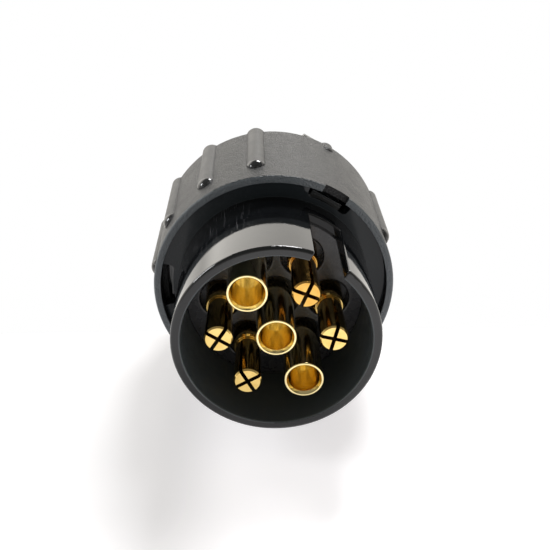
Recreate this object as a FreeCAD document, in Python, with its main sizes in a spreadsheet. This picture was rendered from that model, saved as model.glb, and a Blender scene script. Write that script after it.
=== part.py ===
import FreeCAD, Part
import math
import os
import re
import Sketcher

# Trailer wiring adapter: a seven-pole plug nose in front, a ribbed grip collar around the
# middle, and a thirteen-pole socket under a sprung lid behind.
#
# Frame: the connector's axis is Y, the rim of the nose is the plane y = 0, the nose faces -Y
# and the socket +Y. Every piece is modelled with the key slot straight up (+Z) and then rolled
# about the axis by key_roll, which is how the adapter lies on its grip ribs.
# Angles around the axis are counted from the key slot towards +X.

os.makedirs("parts", exist_ok=True)
doc = FreeCAD.newDocument("trailer_adapter")

# ---------------------------------------------------------------- driving dimensions (mm, deg)

DIMENSIONS = {
    "key_roll": 30.5,
    # clearances between fitted pieces
    "slip": 0.02,
    "loose": 0.05,
    # plug nose: shroud, key slot, flange, skirt
    "nose_radius": 20.0,
    "nose_bore": 18.1,
    "rim_round": 0.7,
    "key_slot_width": 7.2,
    "key_slot_end": 17.9,
    "slot_edge": 0.3,
    "flange_face": 23.9,
    "flange_back": 26.9,
    "flange_radius": 23.7,
    "skirt_bore": 18.4,
    "skirt_end": 44.95,
    # the three snap windows in the flange and the snap arms behind them
    "window_inner": 21.25,
    "window_half_angle": 12.0,
    "window_corner": 0.9,
    "arm_inner": 20.5,
    "arm_outer": 21.8,
    "arm_root": 26.2,
    "arm_width": 7.0,
    "barb_face": 29.05,
    "barb_radius": 23.0,
    "arm_end": 31.6,
    # contact carrier, terminal plate and retaining ring inside the nose
    "carrier_face": 17.6,
    "carrier_radius": 18.35,
    "carrier_back": 25.5,
    "contact_ring": 11.0,
    "pocket_floor": 21.0,
    "pin_pocket": 4.2,
    "sleeve_pocket": 4.9,
    "pocket_edge": 0.45,
    "plate_front": 25.55,
    "plate_back": 28.3,
    "retainer_front": 28.35,
    "retainer_back": 31.0,
    "retainer_bore": 16.6,
    # split male pins
    "pin_tip": 1.6,
    "pin_tip_radius": 2.75,
    "pin_tip_edge": 0.3,
    "pin_root_radius": 2.5,
    "pin_shoulder": 14.0,
    "pin_shoulder_radius": 3.1,
    "pin_slot_tip": 0.76,
    "pin_slot_root": 0.5,
    "pin_slot_end": 13.0,
    # sleeve contacts
    "sleeve_tip": 2.0,
    "sleeve_radius": 3.88,
    "sleeve_mouth": 3.45,
    "sleeve_throat": 3.05,
    "sleeve_throat_depth": 2.65,
    "sleeve_bore": 2.55,
    "sleeve_funnel_end": 9.0,
    "sleeve_bore_end": 20.0,
    # what pins and sleeves share behind the carrier
    "stop_front": 24.0,
    "pin_stop_radius": 3.6,
    "sleeve_stop_radius": 4.4,
    "tail_radius": 2.2,
    "tail_end": 32.0,
    "cup_radius": 0.95,
    "cup_floor": 28.6,
    # grip collar
    "collar_lip": 21.9,
    "collar_back": 50.2,
    "lip_radius": 25.2,
    "back_radius": 25.45,
    "lip_bore": 23.75,
    "ledge_front": 26.95,
    "ledge_back": 29.0,
    "ledge_bore": 22.7,
    "cavity_radius": 23.4,
    "cavity_back": 48.4,
    "rear_bore": 20.55,
    "collar_edge": 0.45,
    "rib_radius": 2.2,
    "rib_circle": 24.2,
    "rib_front": 28.9,
    "rib_places": 14.0,
    "notch_width": 5.6,
    "notch_depth": 0.9,
    "nub_radius": 2.0,
    "nub_circle": 23.9,
    "nub_front": 47.6,
    # lid hinge, opposite the key slot
    "hinge_depth": 52.3,
    "hinge_offset": 24.6,
    "hinge_pin_radius": 1.0,
    "ear_hole_radius": 1.01,
    "ear_radius": 2.4,
    "bracket_plate": 1.2,
    "ear_gap": 8.4,
    "ear_span": 11.6,
    # socket barrel behind the collar
    "gasket_front": 44.97,
    "gasket_back": 45.48,
    "barrel_front": 45.5,
    "barrel_flange": 23.3,
    "barrel_flange_back": 48.35,
    "barrel_radius": 20.5,
    "barrel_bore": 18.3,
    "barrel_end": 61.0,
    "seat_back": 49.0,
    "step_back": 51.0,
    "step_bore": 15.6,
    "lug_radius": 1.7,
    "lug_depth": 57.6,
    "lug_circle": 22.3,
    # thirteen-pole insert
    "insert_front": 46.0,
    "insert_flange": 18.25,
    "insert_radius": 15.2,
    "insert_face": 59.5,
    "outer_ring": 10.9,
    "inner_ring": 4.9,
    "cavity_bore": 1.9,
    "blank_floor": 52.0,
    "keyway_width": 3.2,
    "keyway_floor": 13.8,
    "back_plate_front": 44.0,
    "back_plate_back": 45.95,
    "back_plate_radius": 18.2,
    # rear contacts
    "contact_mouth": 59.0,
    "contact_radius": 1.85,
    "contact_bore": 1.26,
    "contact_bore_end": 49.0,
    "contact_stop": 2.2,
    "contact_stop_front": 46.05,
    "contact_stop_back": 47.55,
    "contact_tail": 1.3,
    "contact_tail_end": 41.5,
    "contact_cup": 0.8,
    "contact_cup_floor": 44.5,
    "contact_slit": 0.4,
    "link_front": 42.6,
    "link_back": 43.4,
    "link_width": 4.2,
    # screws that hold the insert in the barrel
    "screw_ring": 16.95,
    "screw_radius": 0.8,
    "screw_hole": 0.9,
    "screw_head": 1.3,
    "screw_head_front": 42.9,
    "screw_tip": 50.6,
    "screw_recess": 0.5,
    # wires
    "wire_radius": 1.0,
    "strand_radius": 0.65,
    "strand_root": 0.2,
    "insulation_gap": 0.3,
    # sprung lid
    "lid_front": 61.4,
    "lid_back": 63.6,
    "lid_radius": 20.9,
    "lid_recess": 17.2,
    "lid_recess_floor": 62.9,
    "lid_web": 1.4,
    "lid_hub": 5.0,
    "lid_arm_reach": 22.4,
    "lid_tab": 22.0,
    "lid_tab_width": 9.0,
    "groove_inner": 17.8,
    "groove_outer": 20.4,
    "groove_floor": 61.9,
    "lid_gasket_front": 61.03,
    "lid_gasket_back": 61.88,
    "knuckle_radius": 2.0,
    "knuckle_hole": 1.03,
    "knuckle_gap": 4.8,
    "knuckle_span": 8.2,
    "spring_coil": 1.7,
    "spring_wire": 0.3,
    "spring_turns": 5.25,
    "fixed_leg": 2.2,
    "moving_leg": 5.4,
    "spring_well_end": 55.5,
    "leg_slot_end": 58.5,
}

PIN_ANGLES = (0, 60, 180, 240)
PIN_TWISTS = (-7.5, -16.5, -59.5, 2.5)
SLEEVE_ANGLES = (120, 300)
REAR_ANGLES = tuple(22.5 + 45 * step for step in range(8))
INNER_ANGLES = tuple(45 + 90 * step for step in range(4))
SCREW_ANGLES = (0, 120, 240)
LINKED_ANGLES = (157.5, 202.5)

sheet = doc.addObject("Spreadsheet::Sheet", "dims")
for row, (alias, value) in enumerate(DIMENSIONS.items(), start=1):
    sheet.set(f"A{row}", alias)
    sheet.set(f"B{row}", str(value))
    sheet.setAlias(f"B{row}", alias)
doc.recompute()


# ---------------------------------------------------------------- modelling helpers


def spelled(text):
    """Turns bare dimension names in a formula into references to the sheet."""
    return re.sub(
        r"[a-z_]+", lambda word: f"dims.{word[0]}" if word[0] in DIMENSIONS else word[0], text
    )


def number(text):
    """The value of a formula now."""
    return float(sheet.evalExpression(spelled(text)))


def bind(feature, target, text):
    feature.setExpression(target, spelled(text))


def around(radius, angle):
    """Formulas for the x and z of a point at an angle from the key slot."""
    return f"{radius} * sin({angle})", f"{radius} * cos({angle})"


def origin_item(body, role):
    return next(item for item in body.Origin.OriginFeatures if item.Role == role)


def new_body(name):
    """A sub-part that is rolled about the connector's axis."""
    body = doc.addObject("PartDesign::Body", name)
    body.Label = name
    roll_about_axis(body)
    return body


def roll_about_axis(piece, base=("0", "0", "0"), twist=0):
    """Places a piece at a point given with the key slot up, and rolls it with the rest."""
    roll = number("key_roll")
    x, y, z = (number(part) for part in base)
    turn = FreeCAD.Rotation(FreeCAD.Vector(0, 1, 0), roll)
    spin = FreeCAD.Rotation(FreeCAD.Vector(0, 1, 0), roll + twist)
    piece.Placement = FreeCAD.Placement(turn.multVec(FreeCAD.Vector(x, y, z)), spin)
    px, py, pz = base
    bind(piece, "Placement.Base.x", f"( {px} ) * cos(key_roll) + ( {pz} ) * sin(key_roll)")
    bind(piece, "Placement.Base.y", py)
    bind(piece, "Placement.Base.z", f"( {pz} ) * cos(key_roll) - ( {px} ) * sin(key_roll)")
    bind(piece, "Placement.Rotation.Angle", f"key_roll + {twist}")


def new_sketch(body, name, plane, depth=None):
    """A sketch on one of the body's own planes; depth moves an XZ sketch along +Y."""
    sketch = body.newObject("Sketcher::SketchObject", name)
    sketch.AttachmentSupport = [(origin_item(body, plane), "")]
    sketch.MapMode = "FlatFace"
    if depth:
        bind(sketch, "AttachmentOffset.Base.z", f"- ( {depth} )")
    return sketch


def pin_point(sketch, geometry, end, first, second):
    """Fixes a point of a sketch at two formulas."""
    for kind, text, axis in (("DistanceX", first, -2), ("DistanceY", second, -1)):
        value = number(text)
        if abs(value) < 1e-9:
            sketch.addConstraint(Sketcher.Constraint("PointOnObject", geometry, end, axis))
            continue
        index = sketch.addConstraint(
            Sketcher.Constraint(kind, -1, 1, geometry, end, value)
        )
        if not text.lstrip("-").replace(".", "").isdigit():
            bind(sketch, f"Constraints[{index}]", text)


def outline(body, name, plane, corners, depth=None):
    """A closed straight-sided outline whose corners are pairs of formulas."""
    sketch = new_sketch(body, name, plane, depth)
    points = [FreeCAD.Vector(number(a), number(b), 0) for a, b in corners]
    count = len(points)
    for index in range(count):
        edge = Part.LineSegment(points[index], points[(index + 1) % count])
        sketch.addGeometry(edge, False)
    for index in range(count):
        after = (index + 1) % count
        sketch.addConstraint(Sketcher.Constraint("Coincident", index, 2, after, 1))
    for index, (first, second) in enumerate(corners):
        pin_point(sketch, index, 1, first, second)
    return sketch


def circles(body, name, plane, places, radius, depth=None):
    """Circles of one radius at several places."""
    sketch = new_sketch(body, name, plane, depth)
    for first, second in places:
        centre = FreeCAD.Vector(number(first), number(second), 0)
        ring = Part.Circle(centre, FreeCAD.Vector(0, 0, 1), number(radius))
        index = sketch.addGeometry(ring, False)
        size = sketch.addConstraint(Sketcher.Constraint("Radius", index, number(radius)))
        bind(sketch, f"Constraints[{size}]", radius)
        pin_point(sketch, index, 3, first, second)
    return sketch


def turned(body, name, corners, kind="Revolution"):
    """Turns an outline of (radius, depth) corners about the connector's axis."""
    sketch = outline(body, f"{name}_outline", "XY_Plane", corners)
    feature = body.newObject(f"PartDesign::{kind}", name)
    feature.Profile = sketch
    feature.ReferenceAxis = (sketch, ["V_Axis"])
    feature.Angle = 360
    return feature


def extruded(body, name, sketch, length, kind="Pad", both_ways=False):
    """A pad or pocket; from an XZ sketch both run towards the socket (+Y)."""
    feature = body.newObject(f"PartDesign::{kind}", name)
    feature.Profile = sketch
    bind(feature, "Length", length)
    if both_ways:
        feature.SideType = "Symmetric"
    elif kind == "Pad":
        feature.Reversed = True
    return feature


def repeated(body, name, features, count, angle="360"):
    """Repeats features around the connector's axis."""
    pattern = body.newObject("PartDesign::PolarPattern", name)
    pattern.Originals = features
    pattern.Axis = (origin_item(body, "Y_Axis"), [""])
    bind(pattern, "Angle", angle)
    pattern.Occurrences = count
    body.Tip = pattern
    return pattern


def edge_names(feature, wanted):
    """Names of the edges of a feature that pass a test."""
    edges = enumerate(feature.Shape.Edges, start=1)
    return [f"Edge{index}" for index, edge in edges if wanted(edge)]


def ring_edge(radius, depth):
    """A test for a circular edge about a line along Y, of a radius, at a depth."""
    r, y = number(radius), number(depth)

    def wanted(edge):
        return (
            isinstance(edge.Curve, Part.Circle)
            and abs(edge.Curve.Radius - r) < 1e-3
            and abs(edge.Curve.Center.y - y) < 1e-3
            and abs(abs(edge.Curve.Axis.y) - 1) < 1e-6
        )

    return wanted


def softened(body, name, wanted, size, kind="Fillet"):
    """Rounds or chamfers the edges of the body's last feature that pass a test."""
    doc.recompute()
    base = body.Tip
    feature = body.newObject(f"PartDesign::{kind}", name)
    feature.Base = (base, edge_names(base, wanted))
    bind(feature, "Radius" if kind == "Fillet" else "Size", size)
    return feature


# ---------------------------------------------------------------- plug nose


def make_nose_shell():
    """Shroud, flange and rear skirt in one moulding, with three snap arms behind the flange."""
    body = new_body("nose_shell")
    turned(
        body,
        "nose_wall",
        [
            ("nose_bore", "0"),
            ("nose_radius", "0"),
            ("nose_radius", "flange_face"),
            ("flange_radius", "flange_face"),
            ("flange_radius", "flange_back"),
            ("nose_radius", "flange_back"),
            ("nose_radius", "skirt_end"),
            ("skirt_bore", "skirt_end"),
            ("skirt_bore", "carrier_face"),
            ("nose_bore", "carrier_face"),
        ],
    )
    softened(body, "rim_rounding", ring_edge("nose_radius", "0"), "rim_round")
    softened(body, "rim_inner_edge", ring_edge("nose_bore", "0"), "rim_round / 2")
    slot = outline(
        body,
        "key_slot_outline",
        "XZ_Plane",
        [
            ("- key_slot_width / 2", "nose_bore / 2"),
            ("key_slot_width / 2", "nose_bore / 2"),
            ("key_slot_width / 2", "nose_radius + 1"),
            ("- key_slot_width / 2", "nose_radius + 1"),
        ],
    )
    extruded(body, "key_slot", slot, "key_slot_end", "Pocket")
    slot_end = ring_edge("nose_radius", "key_slot_end")

    def slot_rim(edge):
        box = edge.BoundBox
        beside = abs(abs(box.XMin) - number("key_slot_width") / 2) < 0.05
        outside = box.ZMin > number("nose_bore")
        long_edge = box.YLength > number("key_slot_end") / 2 and box.XLength < 0.05
        return slot_end(edge) or (beside and outside and long_edge)

    softened(body, "slot_edge_rounding", slot_rim, "slot_edge")
    window = extruded(
        body, "snap_window", window_outline(body), "flange_back - flange_face + 1", "Pocket"
    )
    arm_profile = outline(
        body,
        "snap_arm_outline",
        "YZ_Plane",
        [
            ("arm_root", "arm_inner"),
            ("arm_end", "arm_inner"),
            ("arm_end", "arm_outer"),
            ("barb_face", "barb_radius"),
            ("barb_face", "arm_outer"),
            ("arm_root", "arm_outer"),
        ],
    )
    arm = extruded(body, "snap_arm", arm_profile, "arm_width", both_ways=True)
    repeated(body, "snap_set", [window, arm], 3)
    corner_radius = number("window_inner")

    def window_corner(edge):
        along = edge.BoundBox.YLength
        flat = edge.BoundBox.XLength + edge.BoundBox.ZLength
        place = edge.CenterOfMass
        reach = math.hypot(place.x, place.z)
        return along > 1 and flat < 1e-6 and abs(reach - corner_radius) < 1e-3

    softened(body, "window_rounding", window_corner, "window_corner")


def window_outline(body):
    """A window through the flange: an arc inside, radial sides, open at the flange's edge."""
    sketch = new_sketch(body, "snap_window_outline", "XZ_Plane", "flange_face")
    half = number("window_half_angle")
    inner = number("window_inner")
    outer = number("flange_radius") + 1
    up = FreeCAD.Vector(0, 0, 1)
    centre = FreeCAD.Vector(0, 0, 0)
    left, right = math.radians(90 + half), math.radians(90 - half)

    def place(radius, angle):
        return FreeCAD.Vector(radius * math.cos(angle), radius * math.sin(angle), 0)

    sketch.addGeometry(Part.ArcOfCircle(Part.Circle(centre, up, inner), right, left), False)
    sketch.addGeometry(Part.LineSegment(place(inner, left), place(outer, left)), False)
    sketch.addGeometry(Part.ArcOfCircle(Part.Circle(centre, up, outer), right, left), False)
    sketch.addGeometry(Part.LineSegment(place(outer, right), place(inner, right)), False)
    for one, end, other, start in ((0, 2, 1, 1), (1, 2, 2, 2), (2, 1, 3, 1), (3, 2, 0, 1)):
        sketch.addConstraint(Sketcher.Constraint("Coincident", one, end, other, start))
    for arc, size in ((0, "window_inner"), (2, "flange_radius + 1")):
        sketch.addConstraint(Sketcher.Constraint("Coincident", arc, 3, -1, 1))
        index = sketch.addConstraint(Sketcher.Constraint("Radius", arc, number(size)))
        bind(sketch, f"Constraints[{index}]", size)
    for end, side in ((1, "window_half_angle"), (2, "- window_half_angle")):
        across = f"window_inner * sin({side})"
        value = number(across)
        index = sketch.addConstraint(
            Sketcher.Constraint("DistanceX", -1, 1, 0, end, value)
        )
        bind(sketch, f"Constraints[{index}]", across)
    for line in (1, 3):
        sketch.addConstraint(Sketcher.Constraint("PointOnObject", -1, 1, line))
    return sketch


def make_contact_carrier():
    """The insulating block that fills the nose behind the contacts' free length."""
    body = new_body("contact_carrier")
    turned(
        body,
        "carrier_block",
        [
            ("0", "carrier_face"),
            ("carrier_radius", "carrier_face"),
            ("carrier_radius", "carrier_back"),
            ("0", "carrier_back"),
        ],
    )
    softened(
        body, "carrier_edge", ring_edge("carrier_radius", "carrier_face"), "0.35", "Chamfer"
    )
    pins = [around("contact_ring", angle) for angle in PIN_ANGLES]
    sleeves = [around("contact_ring", angle) for angle in SLEEVE_ANGLES] + [("0", "0")]
    for kind, places in (("pin", pins), ("sleeve", sleeves)):
        bore = {"pin": "pin_shoulder_radius", "sleeve": "sleeve_radius"}[kind]
        cuts = (
            ("bore", f"{bore} + slip", "carrier_face", "carrier_back - carrier_face"),
            ("pocket", f"{kind}_pocket", "carrier_face", "pocket_floor - carrier_face"),
            ("seat", f"{kind}_stop_radius + loose", "stop_front - slip", "2"),
        )
        for cut, radius, depth, length in cuts:
            name = f"{kind}_{cut}"
            sketch = circles(body, f"{name}_outline", "XZ_Plane", places, radius, depth)
            extruded(body, name, sketch, length, "Pocket")
    tests = [ring_edge(f"{kind}_pocket", "carrier_face") for kind in ("pin", "sleeve")]
    softened(body, "pocket_rounding", lambda edge: any(t(edge) for t in tests), "pocket_edge")


def make_terminal_plate():
    """Traps the contacts' stop flanges against the back of the carrier."""
    body = new_body("terminal_plate")
    turned(
        body,
        "plate",
        [
            ("0", "plate_front"),
            ("carrier_radius", "plate_front"),
            ("carrier_radius", "plate_back"),
            ("0", "plate_back"),
        ],
    )
    angles = PIN_ANGLES + SLEEVE_ANGLES
    places = [around("contact_ring", angle) for angle in angles] + [("0", "0")]
    holes = circles(
        body, "tail_holes_outline", "XZ_Plane", places, "tail_radius + loose", "plate_front"
    )
    extruded(body, "tail_holes", holes, "plate_back - plate_front", "Pocket")


def make_ring(name, inner, outer, front, back):
    """A plain turned ring."""
    body = new_body(name)
    turned(body, f"{name}_ring", [(inner, front), (outer, front), (outer, back), (inner, back)])
    return body


def tail_corners(stop_radius):
    """The outline that pins and sleeves share behind the carrier, down to the wire cup."""
    return [
        (stop_radius, "stop_front"),
        (stop_radius, "carrier_back"),
        ("tail_radius", "carrier_back"),
        ("tail_radius", "tail_end"),
        ("cup_radius", "tail_end"),
        ("cup_radius", "cup_floor"),
        ("0", "cup_floor"),
    ]


def make_split_pin(name, angle, twist):
    """A male pin, cross-slit and slightly spread so that it grips the mating sleeve."""
    body = new_body(name)
    turned(
        body,
        "pin_turning",
        [
            ("0", "pin_tip"),
            ("pin_tip_radius - pin_tip_edge", "pin_tip"),
            ("pin_tip_radius", "pin_tip + pin_tip_edge"),
            ("pin_root_radius", "pin_shoulder"),
            ("pin_shoulder_radius - pin_tip_edge", "pin_shoulder"),
            ("pin_shoulder_radius", "pin_shoulder + pin_tip_edge"),
            ("pin_shoulder_radius", "stop_front"),
        ]
        + tail_corners("pin_stop_radius"),
    )
    wedge = [
        ("- pin_slot_tip / 2", "pin_tip - 1"),
        ("pin_slot_tip / 2", "pin_tip - 1"),
        ("pin_slot_root / 2", "pin_slot_end"),
        ("- pin_slot_root / 2", "pin_slot_end"),
    ]
    flat = outline(body, "slit_across_outline", "XY_Plane", wedge)
    extruded(body, "slit_across", flat, "8", "Pocket", both_ways=True)
    turned_wedge = [(depth, across) for across, depth in wedge]
    upright = outline(body, "slit_along_outline", "YZ_Plane", turned_wedge)
    extruded(body, "slit_along", upright, "8", "Pocket", both_ways=True)
    x, z = around("contact_ring", angle)
    roll_about_axis(body, (x, "0", z), twist)


def make_sleeve(name, x, z):
    """A tubular contact with a funnel mouth for the mating pin."""
    body = new_body(name)
    turned(
        body,
        "sleeve_turning",
        [
            ("0", "sleeve_bore_end"),
            ("sleeve_bore", "sleeve_bore_end"),
            ("sleeve_bore", "sleeve_funnel_end"),
            ("sleeve_throat", "sleeve_throat_depth"),
            ("sleeve_mouth", "sleeve_tip"),
            ("sleeve_radius", "sleeve_tip"),
            ("sleeve_radius", "stop_front"),
        ]
        + tail_corners("sleeve_stop_radius"),
    )
    softened(body, "rim_outer_round", ring_edge("sleeve_radius", "sleeve_tip"), "0.22")
    softened(body, "rim_inner_round", ring_edge("sleeve_mouth", "sleeve_tip"), "0.12")
    roll_about_axis(body, (x, "0", z))


# ---------------------------------------------------------------- grip collar


def make_grip_collar():
    """The outer grip: a ribbed sleeve with a snap ledge, a closed back and two hinge ears."""
    body = new_body("grip_collar")
    turned(
        body,
        "collar_blank",
        [
            ("0", "collar_lip"),
            ("lip_radius", "collar_lip"),
            ("back_radius", "collar_back"),
            ("0", "collar_back"),
        ],
    )
    softened(body, "lip_rounding", ring_edge("lip_radius", "collar_lip"), "collar_edge")
    softened(body, "back_rounding", ring_edge("back_radius", "collar_back"), "collar_edge")
    add_grip_ribs(body)
    add_nub(body)
    add_hinge_ears(body)
    turned(
        body,
        "collar_hollow",
        [
            ("0", "collar_lip - 1"),
            ("lip_bore", "collar_lip - 1"),
            ("lip_bore", "ledge_front"),
            ("ledge_bore", "ledge_front"),
            ("ledge_bore", "ledge_back"),
            ("cavity_radius", "ledge_back"),
            ("cavity_radius", "cavity_back"),
            ("rear_bore", "cavity_back"),
            ("rear_bore", "collar_back + 1"),
            ("0", "collar_back + 1"),
        ],
        "Groove",
    )
    notch = outline(
        body,
        "lip_notch_outline",
        "XZ_Plane",
        [
            ("- notch_width / 2", "ledge_bore"),
            ("notch_width / 2", "ledge_bore"),
            ("notch_width / 2", "lip_radius + 1"),
            ("- notch_width / 2", "lip_radius + 1"),
        ],
        "collar_lip",
    )
    extruded(body, "lip_notch", notch, "notch_depth", "Pocket")


def add_ball(body, name, x, y, z, radius):
    ball = body.newObject("PartDesign::AdditiveSphere", name)
    bind(ball, "Radius", radius)
    for side, text in zip("xyz", (x, y, z)):
        bind(ball, f"Placement.Base.{side}", text)
    return ball


def add_grip_ribs(body):
    """Half-round ribs with ball ends, at all places but the two beside the key slot."""
    x, z = around("rib_circle", "1.5 * 360 / rib_places")
    ball = add_ball(body, "rib_ball", x, "rib_front", z, "rib_radius")
    round_bar = circles(body, "rib_outline", "XZ_Plane", [(x, z)], "rib_radius", "rib_front")
    bar = extruded(body, "rib_bar", round_bar, "collar_back - rib_front")
    ribs = round(number("rib_places")) - 2
    repeated(body, "grip_ribs", [ball, bar], ribs, f"{ribs - 1} * 360 / rib_places")


def add_nub(body):
    """The low marker nub on the back edge, in line with the key slot."""
    bar = circles(body, "nub_outline", "XZ_Plane", [("0", "nub_circle")], "nub_radius", "nub_front")
    extruded(body, "nub_bar", bar, "collar_back - nub_front")
    add_ball(body, "nub_ball", "0", "nub_front", "nub_circle", "nub_radius")


def add_hinge_ears(body):
    """Two ears and a plate on the closed back: they hold the lid's hinge pin and spring."""
    ear = outline(
        body,
        "ear_outline",
        "YZ_Plane",
        [
            ("collar_back - bracket_plate", "- hinge_offset + 3"),
            ("collar_back - bracket_plate", "- hinge_offset - ear_radius"),
            ("hinge_depth", "- hinge_offset - ear_radius"),
            ("hinge_depth", "- hinge_offset + ear_radius"),
            ("collar_back + 0.3", "- hinge_offset + 3"),
        ],
    )
    extruded(body, "ear_web", ear, "ear_span", both_ways=True)
    place = [("hinge_depth", "- hinge_offset")]
    boss = circles(body, "ear_boss_outline", "YZ_Plane", place, "ear_radius")
    extruded(body, "ear_boss", boss, "ear_span", both_ways=True)
    gap = outline(
        body,
        "ear_gap_outline",
        "YZ_Plane",
        [
            ("collar_back", "- hinge_offset + 4"),
            ("collar_back", "- hinge_offset - 4"),
            ("hinge_depth + 4", "- hinge_offset - 4"),
            ("hinge_depth + 4", "- hinge_offset + 4"),
        ],
    )
    extruded(body, "ear_gap", gap, "ear_gap", "Pocket", both_ways=True)
    hole = circles(body, "ear_hole_outline", "YZ_Plane", place, "ear_hole_radius")
    extruded(body, "ear_hole", hole, "ear_span + 2", "Pocket", both_ways=True)


# ---------------------------------------------------------------- thirteen-pole socket


def make_socket_barrel():
    """The tube that the mating coupling ring slides over, with three bayonet lugs."""
    body = new_body("socket_barrel")
    turned(
        body,
        "barrel_wall",
        [
            ("barrel_bore", "barrel_front"),
            ("barrel_flange", "barrel_front"),
            ("barrel_flange", "barrel_flange_back"),
            ("barrel_radius", "barrel_flange_back"),
            ("barrel_radius", "barrel_end"),
            ("barrel_bore", "barrel_end"),
            ("barrel_bore", "step_back"),
            ("step_bore", "step_back"),
            ("step_bore", "seat_back"),
            ("barrel_bore", "seat_back"),
        ],
    )
    for name, radius in (("mouth_outer", "barrel_radius"), ("mouth_inner", "barrel_bore")):
        softened(body, f"{name}_round", ring_edge(radius, "barrel_end"), "0.5")
    lug = body.newObject("PartDesign::AdditiveCylinder", "bayonet_lug")
    bind(lug, "Radius", "lug_radius")
    bind(lug, "Height", "lug_circle - barrel_bore - 1")
    bind(lug, "Placement.Base.y", "lug_depth")
    bind(lug, "Placement.Base.z", "barrel_bore + 1")
    repeated(body, "bayonet_lugs", [lug], 3)
    places = [around("screw_ring", angle) for angle in SCREW_ANGLES]
    holes = circles(
        body, "screw_holes_outline", "XZ_Plane", places, "screw_radius + slip", "seat_back"
    )
    extruded(body, "screw_holes", holes, "screw_tip - seat_back + 0.2", "Pocket")


def make_socket_insert():
    """The insulator with thirteen cavities: eight take contacts, five stay blank."""
    body = new_body("socket_insert")
    turned(
        body,
        "insert_block",
        [
            ("0", "insert_front"),
            ("insert_flange", "insert_front"),
            ("insert_flange", "seat_back - loose"),
            ("insert_radius", "seat_back - loose"),
            ("insert_radius", "insert_face"),
            ("0", "insert_face"),
        ],
    )
    softened(body, "insert_edge", ring_edge("insert_radius", "insert_face"), "0.6")
    filled = [around("outer_ring", angle) for angle in REAR_ANGLES]
    blank = [around("inner_ring", angle) for angle in INNER_ANGLES] + [("0", "0")]
    screws = [around("screw_ring", angle) for angle in SCREW_ANGLES]
    cuts = (
        ("cavities", filled, "cavity_bore", "insert_front", "insert_face - insert_front"),
        ("stop_seats", filled, "contact_stop + loose", "insert_front", "1.6"),
        ("blank_cavities", blank, "cavity_bore", "blank_floor", "insert_face - blank_floor"),
        ("screw_holes", screws, "screw_hole", "insert_front", "4"),
    )
    for name, places, radius, depth, length in cuts:
        sketch = circles(body, f"{name}_outline", "XZ_Plane", places, radius, depth)
        extruded(body, name, sketch, length, "Pocket")
    keyway = outline(
        body,
        "keyway_outline",
        "XZ_Plane",
        [
            ("- keyway_width / 2", "- insert_radius - 1"),
            ("keyway_width / 2", "- insert_radius - 1"),
            ("keyway_width / 2", "- keyway_floor"),
            ("- keyway_width / 2", "- keyway_floor"),
        ],
        "step_back + 0.5",
    )
    extruded(body, "keyway", keyway, "insert_face - step_back", "Pocket")
    softened(body, "cavity_mouths", ring_edge("cavity_bore", "insert_face"), "0.3", "Chamfer")


def make_insert_back_plate():
    """Traps the rear contacts' stop flanges in the insert."""
    body = new_body("insert_back_plate")
    turned(
        body,
        "back_plate",
        [
            ("0", "back_plate_front"),
            ("back_plate_radius", "back_plate_front"),
            ("back_plate_radius", "back_plate_back"),
            ("0", "back_plate_back"),
        ],
    )
    tails = [around("outer_ring", angle) for angle in REAR_ANGLES]
    screws = [around("screw_ring", angle) for angle in SCREW_ANGLES]
    for name, places, radius in (
        ("tail_holes", tails, "contact_tail + loose"),
        ("screw_holes", screws, "screw_hole"),
    ):
        sketch = circles(body, f"{name}_outline", "XZ_Plane", places, radius, "back_plate_front")
        extruded(body, name, sketch, "back_plate_back - back_plate_front", "Pocket")


def make_socket_contact(name, angle):
    """A tubular contact, slit at the mouth so that it grips a thin mating pin."""
    body = new_body(name)
    turned(
        body,
        "contact_turning",
        [
            ("contact_bore", "contact_mouth"),
            ("contact_radius", "contact_mouth"),
            ("contact_radius", "contact_stop_back"),
            ("contact_stop", "contact_stop_back"),
            ("contact_stop", "contact_stop_front"),
            ("contact_tail", "contact_stop_front"),
            ("contact_tail", "contact_tail_end"),
            ("contact_cup", "contact_tail_end"),
            ("contact_cup", "contact_cup_floor"),
            ("0", "contact_cup_floor"),
            ("0", "contact_bore_end"),
            ("contact_bore", "contact_bore_end"),
        ],
    )
    slit = outline(
        body,
        "slit_outline",
        "XY_Plane",
        [
            ("- contact_slit / 2", "contact_mouth - 7"),
            ("contact_slit / 2", "contact_mouth - 7"),
            ("contact_slit / 2", "contact_mouth + 1"),
            ("- contact_slit / 2", "contact_mouth + 1"),
        ],
    )
    extruded(body, "slit", slit, "2 * contact_stop", "Pocket", both_ways=True)
    x, z = around("outer_ring", angle)
    roll_about_axis(body, (x, "0", z), angle)


def make_earth_link():
    """A brass strip over two neighbouring tails, which joins the two earth contacts."""
    body = new_body("earth_link")
    half = (LINKED_ANGLES[1] - LINKED_ANGLES[0]) / 2
    reach = f"outer_ring * sin({half}) + link_width / 2"
    middle = f"outer_ring * cos({half})"
    strip = outline(
        body,
        "link_outline",
        "XZ_Plane",
        [
            (f"- ( {reach} )", f"- {middle} - link_width / 2"),
            (reach, f"- {middle} - link_width / 2"),
            (reach, f"- {middle} + link_width / 2"),
            (f"- ( {reach} )", f"- {middle} + link_width / 2"),
        ],
        "link_front",
    )
    extruded(body, "link_strip", strip, "link_back - link_front")
    places = [around("outer_ring", angle) for angle in LINKED_ANGLES]
    holes = circles(
        body, "link_holes_outline", "XZ_Plane", places, "contact_tail + slip", "link_front"
    )
    extruded(body, "link_holes", holes, "link_back - link_front", "Pocket")


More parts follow.
